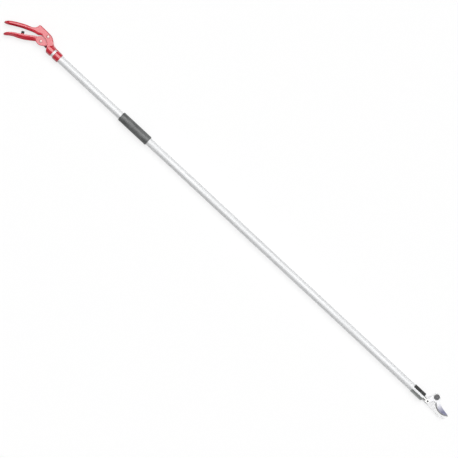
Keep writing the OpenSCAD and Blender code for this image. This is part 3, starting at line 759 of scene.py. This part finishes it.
def coil_spring():
    """The return spring: open coils, a closed coil at each end and both ends ground flat."""
    low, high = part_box("return_spring")
    wire_r = 0.8 * MM
    turns = 9
    per_turn = 40
    sides = 12
    ground = 0.45 * MM
    closed = 2 * wire_r * 1.02
    mean_r = (high.y - low.y) / 2 - wire_r
    start = low.x + wire_r - ground
    free = high.x - low.x - 2 * (wire_r - ground)
    pitch = (free - 2 * closed) / (turns - 2)
    rings = []
    for k in range(turns * per_turn + 1):
        t = k / per_turn
        first = closed * min(t, 1)
        opens = pitch * min(max(t - 1, 0), turns - 2)
        last = closed * max(t - turns + 1, 0)
        a = 2 * math.pi * t
        out = Vector((0, math.cos(a), math.sin(a)))
        centre = Vector((start + first + opens + last, POLE_Y, POLE_Z)) + mean_r * out
        ring = []
        for j in range(sides):
            b = 2 * math.pi * j / sides
            p = centre + wire_r * (math.cos(b) * out + math.sin(b) * Vector((1, 0, 0)))
            p.x = min(max(p.x, low.x), high.x)
            ring.append(p)
        rings.append(ring)
    spring = skin_rings("coil_spring", rings)
    smooth(spring, 50)
    stand_for(spring, "return_spring")
    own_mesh(spring)


def threaded_rod():
    """The pull rod, with the thread that the eye and its nut run on at the handle end."""
    low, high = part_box("pull_rod")
    r = (high.z - low.z) / 2
    thread_end = low.x + 21 * MM
    pitch = 1.0 * MM
    depth = 0.5 * MM
    run_out = 1.5 * MM
    chamfer = 0.6 * MM
    sides = 24
    steps = 168
    threaded = [low.x + (thread_end - low.x) * k / steps for k in range(steps + 1)]
    plain = [thread_end + 0.5 * MM, 0.0, high.x - chamfer, high.x]
    rings = []
    for x in threaded + plain:
        fade = min(max((thread_end - x) / run_out, 0), 1)
        nose = chamfer - min(x - low.x, high.x - x, chamfer)
        ring = []
        for j in range(sides):
            a = 2 * math.pi * j / sides
            phase = ((x - low.x) / pitch - j / sides) % 1
            cut = depth * fade * abs(2 * phase - 1)
            radius = r - max(cut, nose)
            ring.append((x, POLE_Y + radius * math.cos(a), POLE_Z + radius * math.sin(a)))
        rings.append(ring)
    rod = skin_rings("threaded_rod", rings)
    smooth(rod, 35)
    stand_for(rod, "pull_rod")


foam_grip()
coil_spring()
threaded_rod()


# Pieces with broken edges, and the width of those edges in millimetres

# Dark red steel for the rod's eye and its nut: painted shade.
painted_shade_red = shaded_red_steel()
for node, piece, width_mm in (
    ("hook_blade", "hook_plate", 0.3),
    ("rod_end", "lapped_end", 0.2),
    ("rod_locknut", "hex_nut", 0.25),
    ("rod_eye", "forged_eye", 0.3),
    ("pivot_bolt", "hex_bolt", 0.25),
    ("front_collar", "cast_collar", 0.3),
):
    made = broken_edges(node, piece, width_mm)
    # The eye and its nut take the dark red: painted shade of the red casting round them.
    if node in ("rod_eye", "rod_locknut"):
        made.data.materials[0] = painted_shade_red


# Studio and camera

PHOTO_SIDE = 458
PHOTO_MM_PER_PIXEL = 2.7
PHOTO_MIDDLE = Vector((25.7 * MM, -14.55 * MM, POLE_Z))
ROLL = math.radians(42.95)
HALF_PIXEL = 0.5 * PHOTO_MM_PER_PIXEL * MM
AIM = PHOTO_MIDDLE + HALF_PIXEL * Vector((
    -math.cos(ROLL) - math.sin(ROLL), -math.sin(ROLL) + math.cos(ROLL), 0.0,
))
CAMERA_HEIGHT = 9.0
CAMERA_REACH = 200.0
SENSOR = 36.0

FLOOR_HALF = 60.0
FLOOR_Z = -0.05 * MM
WALL_TOP = 6.0
FLOOR_LOOK = {"albedo": 0.25, "glow": 0.73}
WALL_LOOK = {"albedo": 0.05, "glow": 0.97}

ROOM_LOW = 0.04
ROOM_HIGH = 0.5
ROOM_RISES_FROM = 0.15
SOFTBOX_STRENGTH = 0.78
SOFTBOX_WIDTH = math.radians(58)
SOFTBOX_TILT = math.radians(-20)


def camera():
    """A far camera straight above, turned as the photo is."""
    data = bpy.data.cameras.new("camera")
    data.sensor_width = SENSOR
    data.lens = SENSOR * CAMERA_HEIGHT / (PHOTO_SIDE * PHOTO_MM_PER_PIXEL * MM)
    data.clip_end = CAMERA_REACH
    obj = new_piece("camera", data)
    obj.location = AIM + Vector((0.0, 0.0, CAMERA_HEIGHT))
    obj.rotation_euler = (0.0, 0.0, ROLL)
    bpy.context.scene.camera = obj


def seen_rays(tree):
    """1 for rays from the camera, off gloss and through glass, and 0 for those that light the object."""
    path = tree.nodes.new("ShaderNodeLightPath")
    total = path.outputs["Is Camera Ray"]
    for other in ("Is Glossy Ray", "Is Transmission Ray"):
        add = tree.nodes.new("ShaderNodeMath")
        add.operation = "MAXIMUM"
        tree.links.new(total, add.inputs[0])
        tree.links.new(path.outputs[other], add.inputs[1])
        total = add.outputs[0]
    return total


def stage_piece(name, corners, faces, albedo, glow):
    """A matt piece of the pale stage that seen rays find lighter by its glow."""
    mesh = bpy.data.meshes.new(name)
    mesh.from_pydata(corners, [], faces)
    material = bpy.data.materials.new(name)
    material.use_nodes = True
    tree = material.node_tree
    shader = tree.nodes["Principled BSDF"]
    shader.inputs["Base Color"].default_value = (albedo, albedo, albedo, 1.0)
    shader.inputs["Roughness"].default_value = 0.9
    shader.inputs["Specular IOR Level"].default_value = 0.0
    shader.inputs["Emission Color"].default_value = (1.0, 1.0, 1.0, 1.0)
    lift = tree.nodes.new("ShaderNodeMath")
    lift.operation = "MULTIPLY"
    lift.inputs[1].default_value = glow
    tree.links.new(seen_rays(tree), lift.inputs[0])
    tree.links.new(lift.outputs[0], shader.inputs["Emission Strength"])
    mesh.materials.append(material)
    obj = new_piece(name, mesh)


def stage():
    """A pale floor and, far behind it all round, a low white backdrop for level views."""
    far = FLOOR_HALF
    square = [(-far, -far), (far, -far), (far, far), (-far, far)]
    floor = [(x, y, FLOOR_Z) for x, y in square]
    wall = floor + [(x, y, WALL_TOP) for x, y in square]
    sides = [(k, (k + 1) % 4, (k + 1) % 4 + 4, k + 4) for k in range(4)]
    stage_piece("floor", floor, [(0, 1, 2, 3)], **FLOOR_LOOK)
    stage_piece("backdrop", wall, sides, **WALL_LOOK)


def softbox():
    """A big far lamp overhead, leaning to the fulcrum's side."""
    lamp = bpy.data.lights.new("softbox", "SUN")
    lamp.energy = SOFTBOX_STRENGTH * math.pi
    lamp.angle = SOFTBOX_WIDTH
    obj = new_piece("softbox", lamp)
    obj.rotation_euler = (SOFTBOX_TILT, 0.0, 0.0)


def room():
    """Even soft light from above that darkens to the horizon."""
    world = bpy.data.worlds.new("studio")
    bpy.context.scene.world = world
    world.use_nodes = True
    tree = world.node_tree
    back = tree.nodes["Background"]
    back.inputs["Color"].default_value = (1.0, 1.0, 1.0, 1.0)
    place = tree.nodes.new("ShaderNodeTexCoord")
    axes = tree.nodes.new("ShaderNodeSeparateXYZ")
    tree.links.new(place.outputs["Generated"], axes.inputs["Vector"])
    rise = tree.nodes.new("ShaderNodeMapRange")
    rise.interpolation_type = "SMOOTHSTEP"
    rise.inputs["From Min"].default_value = ROOM_RISES_FROM
    rise.inputs["To Min"].default_value = ROOM_LOW
    rise.inputs["To Max"].default_value = ROOM_HIGH
    tree.links.new(axes.outputs["Z"], rise.inputs["Value"])
    tree.links.new(rise.outputs["Result"], back.inputs["Strength"])


camera()
stage()
room()
softbox()
bpy.context.scene.view_settings.view_transform = "Standard"
